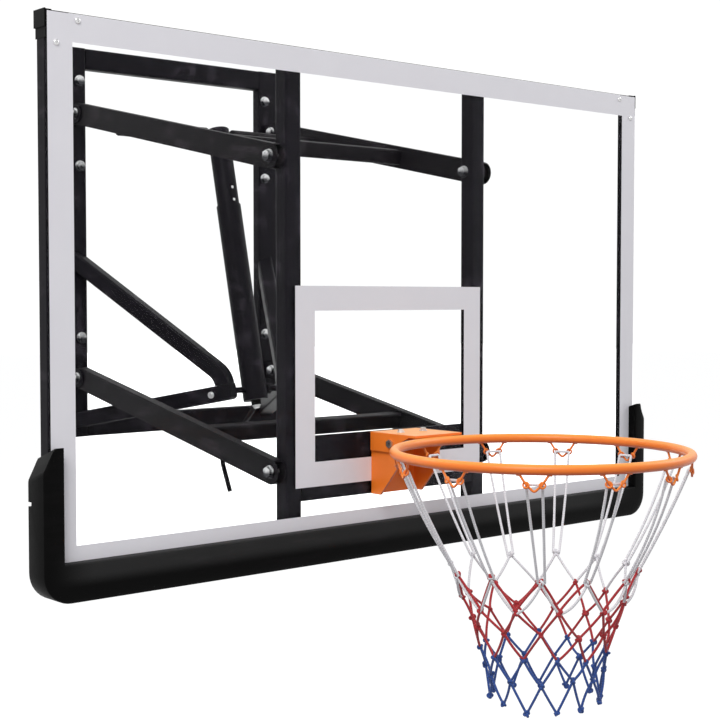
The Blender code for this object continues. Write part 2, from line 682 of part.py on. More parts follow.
def corner_cap(side, name, group):
    """A moulded cap over a top corner: top, side and back walls."""
    half = BOARD_W / 2
    back = RAIL_Y + RAIL_D + GAP
    inside, outside = half - CAP_LEN, half + GAP + CAP_T
    bm = bmesh.new()
    xs = sorted((side * inside, side * outside))
    box(bm, (xs[0], FACE_Y, BOARD_TOP - CAP_LEN), (xs[1], back + CAP_T, BOARD_TOP + GAP + CAP_T))
    bmesh.ops.bevel(bm, geom=[e for e in bm.edges if all(abs(v.co.x) > half for v in e.verts)
                              or all(v.co.z > BOARD_TOP for v in e.verts)],
                    offset=CAP_T * 0.6, segments=2, affect="EDGES", profile=0.5)
    obj = piece(name, bm, group, BLACK_PLASTIC)
    room = bmesh.new()
    xs = sorted((side * (inside - CAP_LEN), side * (half + GAP)))
    box(room, (xs[0], FACE_Y - CAP_LEN, BOARD_TOP - 2 * CAP_LEN), (xs[1], back, BOARD_TOP + GAP))
    cut(obj, cutter(name, room, group))


def pad_ring(y_out, inset_out, y_in, inset_in):
    """One outline of the pad: round outside from leg to leg, then back along the lip."""
    half = BOARD_W / 2
    low = BOARD_LOW - PAD_DOWN + inset_out
    side = half + PAD_SIDE - inset_out
    slope = PAD_FALL / (PAD_REAR - PAD_FACE)
    top, lip_top = [PAD_TOP - slope * (y - PAD_FACE) for y in (y_out, y_in)]
    radius = PAD_CORNER - inset_out
    right = [(side - radius + radius * math.sin(math.pi / 2 * k / 6),
              low + radius - radius * math.cos(math.pi / 2 * k / 6)) for k in range(7)]
    crest = half + PAD_SIDE - PAD_SHOULDER_IN - inset_out * PAD_CREST_IN
    right += [(side, top - PAD_SHOULDER), (crest, top - PAD_CREST), (crest - PAD_CREST, top)]
    outside = [(-x, z) for x, z in reversed(right)] + right
    lip_x = half - PAD_LIP_SIDE + inset_in
    lip_z = BOARD_LOW + PAD_LIP - inset_in
    inside = [(lip_x, lip_top), (lip_x, lip_z), (-lip_x, lip_z), (-lip_x, lip_top)]
    return ([Vector((x, y_out, z)) for x, z in outside] + [Vector((x, y_in, z)) for x, z in inside])


def pad(group):
    """A moulded pad in a U round the lower edge, with a slanted band along its outside."""
    edge = PAD_REAR - PAD_EDGE
    bm = bmesh.new()
    skin(bm, [pad_ring(PAD_FACE, PAD_BAND, PAD_FACE, PAD_INNER),
              pad_ring(PAD_FACE + PAD_BAND_D, 0, PAD_FACE + PAD_INNER, 0),
              pad_ring(edge, 0, edge, 0),
              pad_ring(PAD_REAR, PAD_EDGE, PAD_REAR, PAD_EDGE)])
    obj = piece("bottom_pad", bm, group, RUBBER)
    room = bmesh.new()
    half = BOARD_W / 2
    box(room, (-half - GAP, FACE_Y - GAP, BOARD_LOW - GAP), (half + GAP, PAD_REAR - PAD_BACK, BOARD_TOP))
    notches = bmesh.new()
    high = PAD_TOP - NOTCH_DROP
    for side in (-1, 1):
        xs = sorted((side * (half - PAD_SIDE), side * (half + 2 * PAD_SIDE)))
        box(notches, (xs[0], PAD_REAR - NOTCH_D, high - NOTCH_H), (xs[1], PAD_REAR + NOTCH_D, high))
    cut(obj, cutter("pad_pocket", room, group), cutter("pad_notches", notches, group))


def rim_mount(group, studs, stud_rows):
    """Back plate with two tapered cheeks, and the studs that clamp it through the panel."""
    inside = MOUNT_W / 2 - PLATE_T - FLANGE_SIDE
    top = PLATE_UNDER - FLANGE_SIDE
    low = MOUNT_TOP - MOUNT_H
    seat = FACE_Y - GAP
    nose = top - HINGE.z
    profile = [(seat, low), (seat, top)]
    profile += [(HINGE.y - nose * math.sin(math.pi / 2 * k / 6), HINGE.z + nose * math.cos(math.pi / 2 * k / 6))
                for k in range(7)]
    profile += [(HINGE.y - nose, HINGE.z - CHEEK_NOSE), (FACE_Y - CHEEK_FOOT, low)]
    bm = bmesh.new()
    prism(bm, profile, "X", -inside, inside)
    obj = piece("rim_mount", bm, group, ORANGE)
    room = bmesh.new()
    box(room, (-inside + CHEEK_T, FACE_Y - MOUNT_H, low - MOUNT_H), (inside - CHEEK_T, MOUNT_FRONT, top + MOUNT_H))
    hole = round_hole("rim_mount_hole", group, HINGE.y, HINGE.z, HINGE_R + PIN_PLAY)
    cut(obj, cutter("rim_mount_room", room, group), studs, hole)
    grip = RAIL_Y + BACKER_T + GAP - MOUNT_FRONT + GAP
    for side, word in SIDES:
        for row, z in zip(("lower", "upper"), stud_rows):
            bm = bmesh.new()
            turned(bm, (side * STUD_X, MOUNT_FRONT - GAP, z), "Y",
                   [(-STUD_HEAD_T, STUD_HEAD, "hex"), (0, STUD_HEAD, "hex"), (0, STUD_R), (grip, STUD_R),
                    (grip, STUD_HEAD, "hex"), (grip + STUD_HEAD_T, STUD_HEAD, "hex")])
            piece("mount_bolt_%s_%s" % (row, word), bm, group, ZINC)


def rim(board):
    """Breakaway rim: folded plate, ring, net loops and net, turning on a cross bolt."""
    group = pivot("rim_pivot", HINGE, board)
    shift = -HINGE
    ring = Vector((0, RIM_Y, RIM_Z)) + shift
    plate_front = ring.y + RIM_R
    bm = bmesh.new()
    half = MOUNT_W / 2
    back = FACE_Y - PLATE_BACK + shift.y
    top = MOUNT_TOP + shift.z
    box(bm, (-half, plate_front, top - PLATE_T), (half, back, top))
    obj = piece("rim_plate", bm, group, ORANGE)
    flanges = bmesh.new()
    for side in (-1, 1):
        xs = sorted((side * half, side * (half - PLATE_T)))
        outline = [(back, top - PLATE_T / 2), (back, top - FLANGE_H), (back - FLANGE_FLAT, top - FLANGE_H),
                   (back - FLANGE_LEN, top - FLANGE_TIP), (plate_front + 2 * ROD_R, top - PLATE_T),
                   (plate_front + 2 * ROD_R, top - PLATE_T / 2)]
        prism(flanges, outline, "X", *xs)
    hole = round_hole("rim_plate_hole", group, 0, 0, HINGE_R + PIN_PLAY)
    cut(obj, cutter("rim_flanges", flanges, group), operation="UNION")
    cut(obj, hole)

    bm = bmesh.new()
    edge = half + GAP
    turned(bm, (-edge, 0, 0), "X",
           [(-HINGE_R, HINGE_HEAD, "hex"), (0, HINGE_HEAD, "hex"), (0, HINGE_R), (2 * edge, HINGE_R),
            (2 * edge, HINGE_HEAD, "hex"), (2 * edge + HINGE_R, HINGE_HEAD, "hex")])
    piece("rim_hinge_bolt", bm, group, ZINC)

    bm = bmesh.new()
    steps = 60
    path = [ring + Vector((RIM_R * math.sin(math.tau * k / steps), RIM_R * math.cos(math.tau * k / steps), 0))
            for k in range(steps)]
    sweep(bm, path, ROD_R, 10, closed=True)
    hoop = piece("rim_ring", bm, group, ORANGE)
    hooks = bmesh.new()
    for k in range(NET_COLUMNS):
        net_hook(hooks, ring, math.tau * (k + 0.5) / NET_COLUMNS)
    cut(hoop, cutter("net_hooks", hooks, group), operation="UNION")
    net(group, ring)


def net_hook(bm, ring, angle):
    """A wire hook welded under the ring: a narrow neck with a rounded V below it."""
    out = Vector((math.sin(angle), math.cos(angle), 0))
    along = Vector((out.y, -out.x, 0))
    weld = Vector((-HOOK_W / 2, -ROD_R / 2))
    neck = Vector((-HOOK_NECK / 2, -ROD_R - HOOK_NECK_DROP))
    low = Vector((0, -ROD_R - HOOK_DROP))
    flat = [weld] + bend(weld, neck, low, HOOK_NECK / 4, 2)
    flat += [low + Vector((-HOOK_R, 0)), low + Vector((HOOK_R, 0))] + [Vector((-p.x, p.y)) for p in flat[::-1]]
    sweep(bm, [ring + out * RIM_R + along * p.x + Vector((0, 0, p.y)) for p in flat], HOOK_R, 6)


def net(group, ring):
    """A woven tube: two long strings from each hook to a knot, then rows of diamonds, as one lattice."""
    bm = bmesh.new()
    start = RIM_R - HOOK_R - CORD_T / 2 - GAP
    step = math.tau / NET_COLUMNS

    def knot(column, radius, height, aside=0.0):
        out = Vector((math.sin(step * column), math.cos(step * column), 0))
        along = Vector((out.y, -out.x, 0))
        return bm.verts.new(ring + out * radius + along * aside + Vector((0, 0, height)))

    rows = []
    for row in range(NET_KNOTS):
        drop = NET_FIRST + NET_PITCH * row
        radius = NET_WAIST + (start - NET_WAIST) * math.exp(-drop / NET_TAPER)
        height = -ROD_R - HOOK_NECK_DROP - drop
        turn = 0.5 if row % 2 == 0 else 1.0
        pair = (-KNOT_W / 2, KNOT_W / 2) if row == 0 else (0.0,)
        rows.append([[knot(k + turn, radius, height, aside) for aside in pair] for k in range(NET_COLUMNS)])
    for k, (left, right) in enumerate(rows[0]):
        eyes = [knot(k + 0.5, start, -ROD_R - HOOK_NECK_DROP, s * HOOK_NECK / 2) for s in (-1, 1)]
        bm.faces.new((eyes[0], left, right, eyes[1]))
    for row in range(NET_KNOTS - 2):
        shift = -1 if row % 2 == 0 else 0
        for k in range(NET_COLUMNS):
            before, after = [rows[row + 1][(k + shift + s) % NET_COLUMNS] for s in (0, 1)]
            bm.faces.new(rows[row][k] + after + rows[row + 2][k][::-1] + before)
    obj = piece("net", bm, group, CORD, smooth=60)
    mod = obj.modifiers.new("cords", "WIREFRAME")
    mod.thickness = CORD_T
    mod.use_boundary = True
    mod.use_replace = True
    mod.use_even_offset = False


def main():
    reset()
    wall_frame()
    arms = upper_arms()
    lower_arms()
    strut()
    rim(backboard(arms))


main()
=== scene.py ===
"""Looks for a wall-mounted basketball hoop on a parallelogram lift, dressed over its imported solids."""
import math
import random

import bmesh
import bpy
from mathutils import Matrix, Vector


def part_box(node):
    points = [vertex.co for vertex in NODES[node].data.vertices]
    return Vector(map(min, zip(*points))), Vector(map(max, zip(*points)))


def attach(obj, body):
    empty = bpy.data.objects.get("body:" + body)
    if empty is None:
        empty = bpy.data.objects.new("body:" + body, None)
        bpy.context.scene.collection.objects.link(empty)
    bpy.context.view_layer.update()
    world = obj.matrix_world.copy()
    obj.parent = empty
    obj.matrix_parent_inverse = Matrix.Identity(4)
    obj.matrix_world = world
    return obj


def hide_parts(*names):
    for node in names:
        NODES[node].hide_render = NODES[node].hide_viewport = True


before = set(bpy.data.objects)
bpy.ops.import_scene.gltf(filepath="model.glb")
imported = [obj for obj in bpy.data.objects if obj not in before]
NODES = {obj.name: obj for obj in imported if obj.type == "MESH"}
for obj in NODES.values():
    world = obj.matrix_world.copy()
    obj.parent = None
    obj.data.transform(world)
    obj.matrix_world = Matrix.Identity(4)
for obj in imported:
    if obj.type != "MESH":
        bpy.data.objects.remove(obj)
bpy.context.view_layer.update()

# Places and sizes, in metres, the same as the solids'
FACE_Y = -0.716338
BOARD_TOP = -0.066774
BOARD_H = 0.838
BOARD_LOW = BOARD_TOP - BOARD_H
BOARD_HALF = 0.686
PANEL_T, RAIL_D = 0.004, 0.027
FIT = 0.0003
BOARD_BACK = FACE_Y + PANEL_T + FIT + RAIL_D + FIT
RING = Vector((0, -1.071938, -0.737274))
RING_R = 0.2366
ROD_R = 0.008
COLUMNS = 12
HOOK_W, HOOK_NECK, HOOK_NECK_DROP, HOOK_DROP, HOOK_R = 0.046, 0.024, 0.0135, 0.025, 0.0019
EYE_DROP = HOOK_NECK_DROP + 0.001


class Value:
    """A socket in a finish; arithmetic on it adds Math nodes."""

    def __init__(self, finish, socket):
        self.finish, self.socket = finish, socket

    def math(self, operation, *inputs):
        return self.finish.node("ShaderNodeMath", {"operation": operation}, dict(enumerate(inputs)))

    def __add__(self, other):
        return self.math("ADD", self, other)

    def __sub__(self, other):
        return self.math("SUBTRACT", self, other)

    def __rsub__(self, other):
        return self.math("SUBTRACT", other, self)

    def __mul__(self, other):
        return self.math("MULTIPLY", self, other)

    __radd__, __rmul__ = __add__, __mul__

    def above(self, level, soft):
        """0 below the level, 1 above it, over a soft band."""
        return self.finish.node("ShaderNodeMapRange", {"interpolation_type": "SMOOTHSTEP"},
                                {"Value": self, "From Min": level - soft, "From Max": level + soft})


class Finish:
    """A material, or the world, built from nodes."""

    def __init__(self, name, owner=None):
        self.mat = owner or bpy.data.materials.new(name)
        self.mat.use_nodes = True
        self.tree = self.mat.node_tree
        self.tree.nodes.clear()

    def node(self, kind, settings=None, sockets=None, out=0):
        """One output of a new node; a socket that is given a Value is linked to it."""
        made = self.tree.nodes.new(kind)
        for key, value in (settings or {}).items():
            setattr(made, key, value)
        for key, value in (sockets or {}).items():
            if isinstance(value, Value):
                self.tree.links.new(value.socket, made.inputs[key])
            else:
                made.inputs[key].default_value = value
        return Value(self, made.outputs[out]) if made.outputs else None

    def place(self):
        """Place on the piece, in metres."""
        return self.node("ShaderNodeTexCoord", out="Object")

    def stretched(self, scale):
        return self.node("ShaderNodeMapping", {}, {"Vector": self.place(), "Scale": scale})

    def noise(self, where, scale, detail=2.0, rough=0.5):
        return self.node("ShaderNodeTexNoise", {},
                         {"Vector": where, "Scale": scale, "Detail": detail, "Roughness": rough})

    def mix(self, share, a, b):
        return self.node("ShaderNodeMix", {"data_type": "RGBA"}, {0: share, 6: a, 7: b}, out=2)

    def bump(self, height, depth, normal=None):
        """A normal for a height from 0 to 1 over a depth in metres."""
        sockets = {"Strength": 1.0, "Distance": depth, "Height": height}
        if normal:
            sockets["Normal"] = normal
        return self.node("ShaderNodeBump", {}, sockets)

    def soft_edge(self, radius):
        return self.node("ShaderNodeBevel", {"samples": 4}, {"Radius": radius})

    def surface(self, **sockets):
        """A Principled surface; base_color=... sets the socket Base Color, and so on."""
        named = {key.replace("_", " ").title().replace("Ior", "IOR"): value
                 for key, value in sockets.items()}
        self.node_out(self.node("ShaderNodeBsdfPrincipled", {}, named))
        return self.mat

    def node_out(self, shader):
        self.node("ShaderNodeOutputMaterial", {}, {"Surface": shader})

    def height(self, coordinate):
        """The Z part of a texture coordinate, Generated or Normal."""
        at = self.node("ShaderNodeTexCoord", out=coordinate)
        return self.node("ShaderNodeSeparateXYZ", {}, {0: at}, out="Z")

    def seen(self):
        """1 or more for rays that show a surface, straight, mirrored or through the clear sheet."""
        kinds = [self.node("ShaderNodeLightPath", out="Is %s Ray" % kind)
                 for kind in ("Camera", "Transmission", "Glossy")]
        return kinds[0] + kinds[1] + kinds[2]


def grey(level, warm=0.0):
    """A grey; warm adds a little to its red and blue."""
    return (level + warm, level, level + warm * 0.8, 1)


def satin_black(name, dark, sheen, rough):
    """Black stoved paint on steel tube: cloudy tone, worn patches carrying a painted sheen, orange peel and
    a soft edge.
    """
    f = Finish(name)
    at = f.place()
    cloud = f.noise(at, 7.0, detail=4.0, rough=0.6)
    rub = f.noise(f.stretched((2.2, 0.7, 1.7)), 16.0, detail=4.0, rough=0.62)
    # patches of wear that also carry a painted sheen: a lighter colour standing in for blotchy reflections
    wear_and_sheen = rub.above(0.60, 0.09) * cloud.above(0.46, 0.14)
    peel = f.noise(at, 900.0, detail=1.0)
    cloudy = tuple(1.9 * c for c in dark[:3]) + (1,)
    colour = f.mix(wear_and_sheen, f.mix(cloud, dark, cloudy), sheen)
    return f.surface(base_color=colour, roughness=rough + 0.16 * cloud - 0.10 * wear_and_sheen,
                     specular_ior_level=0.06, normal=f.bump(peel, 0.00006, f.soft_edge(0.0012)))


# Painted highlight, lighter, on the upper half of the pad's lower run, by its ends and its edges
LIT_BAND_LEFT, LIT_BAND_LEFT_SOFT = 0.03, 0.04
LIT_BAND_RIGHT, LIT_BAND_RIGHT_SOFT = 0.09, 0.09
LIT_BAND_LOW, LIT_BAND_HIGH, LIT_BAND_SOFT = 0.008, 0.034, 0.010


def moulded_rubber():
    """Skin of the edge pad: fine pebble grain, dull scuffs and a painted highlight along the upper half of
    its lower run.
    """
    f = Finish("pad_skin")
    at = f.place()
    pebble = f.node("ShaderNodeTexVoronoi", {"feature": "SMOOTH_F1"},
                    {"Vector": at, "Scale": 620.0, "Smoothness": 0.6}, out="Distance")
    scuff = f.noise(f.stretched((0.6, 2, 3)), 16.0, detail=5.0, rough=0.65)
    dust = scuff.above(0.60, 0.12)
    x, z = [f.node("ShaderNodeSeparateXYZ", {}, {0: at}, out=axis) for axis in "XZ"]
    # painted highlight: the upper half of the lower run, which faces up to the light, is made lighter
    run = x.above(LIT_BAND_LEFT - BOARD_HALF, LIT_BAND_LEFT_SOFT)
    run -= x.above(BOARD_HALF - LIT_BAND_RIGHT, LIT_BAND_RIGHT_SOFT)
    rise = z.above(BOARD_LOW - LIT_BAND_LOW, LIT_BAND_SOFT) - z.above(BOARD_LOW + LIT_BAND_HIGH, LIT_BAND_SOFT)
    plain = f.mix(dust, grey(0.0016), grey(0.0032, 0.0003))
    # the lighter tone is the painted highlight's, carrying the same scuffs
    light = f.mix(dust, grey(0.025), grey(0.030, 0.001))
    return f.surface(base_color=f.mix(run * rise, plain, light), roughness=0.38 + 0.16 * scuff,
                     specular_ior_level=0.045, normal=f.bump(pebble, 0.00012))


def moulded_plastic():
    """Black plastic of the caps and the strut's plug: spark texture from the mould."""
    f = Finish("cap_plastic")
    spark = f.noise(f.place(), 1500.0, detail=1.0)
    cloud = f.noise(f.place(), 18.0, detail=3.0)
    return f.surface(base_color=f.mix(cloud, grey(0.0020), grey(0.0040)), roughness=0.42 + 0.1 * cloud,
                     specular_ior_level=0.06, normal=f.bump(spark, 0.00006, f.soft_edge(0.0009)))


def bright_zinc(name, painted_light=False):
    """Plated fasteners: bright with dull patches; dome-shaped heads get a painted highlight above and
    painted shade below.
    """
    f = Finish(name)
    patch = f.noise(f.place(), 160.0, detail=3.0, rough=0.6)
    turned = f.noise(f.stretched((1, 1, 9)), 420.0, detail=1.0)
    colour = f.mix(patch, (0.50, 0.50, 0.52, 1), (0.78, 0.78, 0.77, 1))
    if painted_light:
        # painted highlight on the upper half of the head, painted shade (near black) on the lower half
        lit = (f.height("Generated") + 0.5 * patch).above(0.80, 0.20)
        colour = f.mix(lit, (0.045, 0.045, 0.050, 1), colour)
    return f.surface(base_color=colour, metallic=1.0, roughness=0.20 + 0.20 * patch,
                     normal=f.bump(turned, 0.00003, f.soft_edge(0.0006)))


def orange_paint():
    """Orange powder coat of the rim, with nicks; a yellower painted highlight on faces turned up and a
    redder painted shade on faces turned down.
    """
    f = Finish("orange_paint")
    at = f.place()
    cloud = f.noise(at, 26.0, detail=3.0, rough=0.6)
    peel = f.noise(at, 520.0)
    nick = f.noise(at, 210.0, detail=4.0, rough=0.7).above(0.735, 0.02)
    up = f.height("Normal")
    colour = f.mix(cloud, (0.95, 0.190, 0.014, 1), (0.99, 0.235, 0.024, 1))
    # painted highlight: yellower where the surface faces up
    colour = f.mix(0.85 * up.above(0.55, 0.50), colour, (0.97, 0.365, 0.050, 1))
    # painted shade: darker red where the surface faces down
    colour = f.mix((0.0 - up).above(0.50, 0.50), colour, (0.56, 0.075, 0.005, 1))
    return f.surface(base_color=f.mix(nick, colour, (0.42, 0.085, 0.012, 1)), roughness=0.32 + 0.12 * cloud,
                     specular_ior_level=0.45, normal=f.bump(peel, 0.00010, f.soft_edge(0.0010)))


def clear_sheet():
    """Clear acrylic with a few wiped smears in its gloss."""
    f = Finish("clear_sheet")
    smear = f.noise(f.stretched((1, 1, 2.4)), 5.0, detail=5.0, rough=0.62).above(0.58, 0.10)
    return f.surface(base_color=(0.975, 0.985, 0.985, 1), roughness=0.012 + 0.03 * smear,
                     ior=1.07, transmission_weight=1.0)


def printed_ink():
    """Pale screen print, slightly uneven."""
    f = Finish("printed_ink")
    cloud = f.noise(f.place(), 11.0, detail=4.0, rough=0.6)
    screen = f.noise(f.place(), 1300.0, detail=1.0)
    colour = f.mix(cloud, (0.80, 0.785, 0.83, 1), (0.86, 0.845, 0.885, 1))
    return f.surface(base_color=colour, roughness=0.30 + 0.10 * cloud, normal=f.bump(screen, 0.00002))


BRAID_PITCH = 0.0042


def braided_cord(name, lit, groove_shade):
    """Braided cord: short bands along its length, painted shade in the grooves between them, fuzz on top.
    """
    f = Finish(name)
    run = f.node("ShaderNodeAttribute", {"attribute_name": "along"}, out="Fac")
    wave = run.math("SINE", run * (math.tau / BRAID_PITCH))
    band = wave * 0.5 + 0.5
    fuzz = f.noise(f.place(), 1100.0, rough=0.7)
    soil = f.noise(f.place(), 30.0, detail=3.0)
    # painted shade in the grooves between the bands, mixed with fibre fuzz and real soiling
    colour = f.mix(0.35 * band + 0.30 * fuzz + 0.35 * soil, groove_shade, lit)
    return f.surface(base_color=colour, roughness=0.86, sheen_weight=0.25, sheen_roughness=0.5,
                     normal=f.bump(0.7 * band + 0.5 * fuzz, 0.0005))


def linked(name, data):
    """A new object in the scene."""
    obj = bpy.data.objects.new(name, data)
    bpy.context.scene.collection.objects.link(obj)
    return obj


def smoothed(mesh, angle):
    """Smooth shading with edges that are sharp from an angle in degrees."""
    mesh.shade_smooth()
    mesh.set_sharp_from_angle(angle=math.radians(angle))


def settled(obj):
    """The object's mesh with its modifiers applied, in place of the old one."""
    view = bpy.context.evaluated_depsgraph_get()
    mesh = bpy.data.meshes.new_from_object(obj.evaluated_get(view))
    obj.modifiers.clear()
    obj.data = mesh
    return obj


def trimmed(obj, operation, tool, smooth, overlaps=False):
    """The object cut by, or joined to, a tool that is then thrown away."""
    mod = obj.modifiers.new("trim", "BOOLEAN")
    mod.operation, mod.solver, mod.use_self, mod.object = operation, "EXACT", overlaps, tool
    settled(obj)
    bpy.data.objects.remove(tool, do_unlink=True)
    smoothed(obj.data, smooth)
    return obj


class Shapes:
    """Verts and faces of one piece, gathered shape by shape."""

    def __init__(self):
        self.verts, self.faces, self.along = [], [], []

    def loft(self, rings, closed=False, run=None):
        """Faces from ring to ring, capped at the ends unless the last ring joins the first."""
        base, count, rows = len(self.verts), len(rings[0]), len(rings)
        for i, ring in enumerate(rings):
            self.verts += ring
            self.along += [run[i] if run else 0.0] * count
        for i in range(rows if closed else rows - 1):
            a, b = base + i * count, base + (i + 1) % rows * count
            for j in range(count):
                k = (j + 1) % count
                self.faces.append((a + j, a + k, b + k, b + j))
        if not closed:
            self.faces.append(tuple(range(base + count - 1, base - 1, -1)))
            self.faces.append(tuple(range(base + (rows - 1) * count, base + rows * count)))

    def tube(self, path, radius, sides=10, closed=False):
        """A round bar along a path, its rings carried on without twist."""
        count, rings, run, u = len(path), [], [0.0], None
        turns = [math.tau * k / sides for k in range(sides)]
        for i, p in enumerate(path):
            before = path[i - 1] if closed or i else p
            after = path[(i + 1) % count] if closed or i < count - 1 else p
            along = (after - before).normalized()
            u = along.orthogonal() if u is None else u
            u = (u - along * u.dot(along)).normalized()
            v = along.cross(u)
            rings.append([p + (u * math.cos(t) + v * math.sin(t)) * radius for t in turns])
            if i:
                run.append(run[-1] + (p - path[i - 1]).length)
        self.loft(rings, closed, run)

    def turned(self, profile, sides=24, hexagon=()):
        """A turned shape about Z through rows of (height, radius); hexagon lists the six-sided rows."""
        rings = []
        for row, (height, radius) in enumerate(profile):
            ring = []
            for k in range(sides):
                angle = math.tau * k / sides
                reach = radius
                if row in hexagon:
                    reach = radius / math.cos((angle + math.pi / 6) % (math.pi / 3) - math.pi / 6)
                ring.append(Vector((reach * math.cos(angle), reach * math.sin(angle), height)))
            rings.append(ring)
        self.loft(rings)

    def box(self, low, high):
        xs, ys, zs = zip(low, high)
        corners = ((xs[0], ys[0]), (xs[1], ys[0]), (xs[1], ys[1]), (xs[0], ys[1]))
        self.loft([[Vector((x, y, z)) for x, y in corners] for z in zs])

    def made(self, name, finish, smooth=30):
        mesh = bpy.data.meshes.new(name)
        mesh.from_pydata([tuple(v) for v in self.verts], [], self.faces)
        mesh.attributes.new("along", "FLOAT", "POINT").data.foreach_set("value", self.along)
        mesh.materials.append(finish)
        smoothed(mesh, smooth)
        return linked(name, mesh)


def set_out_tree(name):
    """Geometry nodes that stand one part on every point, turned and sized by the point's own attributes."""
    tree = bpy.data.node_groups.new(name, "GeometryNodeTree")
    face = tree.interface
    face.new_socket("Points", in_out="INPUT", socket_type="NodeSocketGeometry")
    face.new_socket("Part", in_out="INPUT", socket_type="NodeSocketObject")
    face.new_socket("Finish", in_out="INPUT", socket_type="NodeSocketMaterial")
    face.new_socket("Parts", in_out="OUTPUT", socket_type="NodeSocketGeometry")
    make, link = tree.nodes.new, tree.links.new
    source, result = make("NodeGroupInput"), make("NodeGroupOutput")
    part = make("GeometryNodeObjectInfo")
    turn, size = make("GeometryNodeInputNamedAttribute"), make("GeometryNodeInputNamedAttribute")
    turn.data_type, size.data_type = "FLOAT_VECTOR", "FLOAT"
    turn.inputs["Name"].default_value, size.inputs["Name"].default_value = "turn", "size"
    stand = make("GeometryNodeInstanceOnPoints")
    real = make("GeometryNodeRealizeInstances")
    paint = make("GeometryNodeSetMaterial")
    link(source.outputs["Points"], stand.inputs["Points"])
    link(source.outputs["Part"], part.inputs["Object"])
    link(part.outputs["Geometry"], stand.inputs["Instance"])
    link(turn.outputs["Attribute"], stand.inputs["Rotation"])
    link(size.outputs["Attribute"], stand.inputs["Scale"])
    link(stand.outputs["Instances"], real.inputs["Geometry"])
    link(real.outputs["Geometry"], paint.inputs["Geometry"])
    link(source.outputs["Finish"], paint.inputs["Material"])
    link(paint.outputs["Geometry"], result.inputs["Parts"])
    return tree


SET_OUT = set_out_tree("set_out")


def set_out(name, part, spots, finish):
    """One mesh with a copy of the part at each (place, turn, size)."""
    mesh = bpy.data.meshes.new(name)
    mesh.from_pydata([tuple(place) for place, _, _ in spots], [], [])
    turns = [angle for _, turn, _ in spots for angle in turn]
    sizes = [size for _, _, size in spots]
    mesh.attributes.new("turn", "FLOAT_VECTOR", "POINT").data.foreach_set("vector", turns)
    mesh.attributes.new("size", "FLOAT", "POINT").data.foreach_set("value", sizes)
    obj = linked(name, mesh)
    mod = obj.modifiers.new("set_out", "NODES")
    mod.node_group = SET_OUT
    inputs = {item.name: item.identifier for item in SET_OUT.interface.items_tree if item.in_out == "INPUT"}
    mod[inputs["Part"]] = part
    mod[inputs["Finish"]] = finish
    settled(obj)
    bpy.data.objects.remove(part, do_unlink=True)
    return obj


def facing(direction):
    """Turn that takes a part's +Z to a direction."""
    return Vector(direction).to_track_quat("Z", "Y").to_euler()


def shares(steps):
    """Even steps from 0 to 1."""
    return [k / steps for k in range(steps + 1)]


def bend(start, corner, end, reach, steps=6):
    """A smooth turn at a corner, reaching the same way back along both legs."""
    a = corner + (start - corner).normalized() * reach
    b = corner + (end - corner).normalized() * reach
    return [a * (1 - t) ** 2 + corner * 2 * t * (1 - t) + b * t * t for t in shares(steps)]


def dress(names, finish):
    """One finish for each of the solids that are named."""
    for name in names:
        slots = NODES[name].data.materials
        slots.clear()
        slots.append(finish)


# Camera at the photograph's place and lens, a pale floor and soft studio light
LENS_MM, SENSOR_MM, CLIP_END = 70.77, 36.0, 100
CAMERA_PLACE = (-1.70894, -2.595678, -0.490314)
CAMERA_TURN = (math.radians(87.531), 0, math.radians(-40.952))
LAMP_AIM = Vector((0, -0.6, -0.5))
LAMPS = (
    ("key", (-3.2, -2.9, 2.8), 2.6, 138.0),
    ("fill", (3.6, -2.0, 1.6), 2.4, 38.0),
    ("back", (-1.0, 2.2, 2.4), 2.2, 40.0),
)
WHITE, SKY, FLOOR_GREY = (1, 1, 1, 1), (0.97, 0.98, 1, 1), (0.26, 0.26, 0.26, 1)
SKY_SEEN, SKY_LIGHT, FLOOR_GLOW = 1.05, 0.62, 0.84
FLOOR_HALF, FLOOR_LOW, FLOOR_TOP = 30, -1.92, -1.90


def camera():
    lens = bpy.data.cameras.new("camera")
    lens.lens, lens.sensor_width, lens.clip_end = LENS_MM, SENSOR_MM, CLIP_END
    obj = linked("camera", lens)
    obj.location, obj.rotation_euler = CAMERA_PLACE, CAMERA_TURN
    bpy.context.scene.camera = obj


def studio():
    for name, place, size, power in LAMPS:
        lamp = bpy.data.lights.new(name, "AREA")
        lamp.shape, lamp.size, lamp.energy = "DISK", size, power
        obj = linked(name, lamp)
        obj.location = place
        obj.rotation_euler = (LAMP_AIM - Vector(place)).to_track_quat("-Z", "Y").to_euler()

    world = bpy.data.worlds.new("studio")
    bpy.context.scene.world = world
    f = Finish("studio", world)
    plain = f.node("ShaderNodeBackground", {}, {"Color": WHITE, "Strength": SKY_SEEN})
    soft = f.node("ShaderNodeBackground", {}, {"Color": SKY, "Strength": SKY_LIGHT})
    shown = f.node("ShaderNodeMixShader", {}, {0: f.seen(), 1: soft, 2: plain})
    f.node("ShaderNodeOutputWorld", {}, {"Surface": shown})

    f = Finish("pale_floor")
    glow = f.node("ShaderNodeEmission", {}, {"Color": WHITE, "Strength": f.seen() * FLOOR_GLOW})
    matt = f.node("ShaderNodeBsdfDiffuse", {}, {"Color": FLOOR_GREY})
    f.node_out(f.node("ShaderNodeAddShader", {}, {0: glow, 1: matt}))
    floor = Shapes()
    floor.box((-FLOOR_HALF, -FLOOR_HALF, FLOOR_LOW), (FLOOR_HALF, FLOOR_HALF, FLOOR_TOP))
    floor.made("floor", f.mat)
    bpy.context.scene.view_settings.view_transform = "Standard"


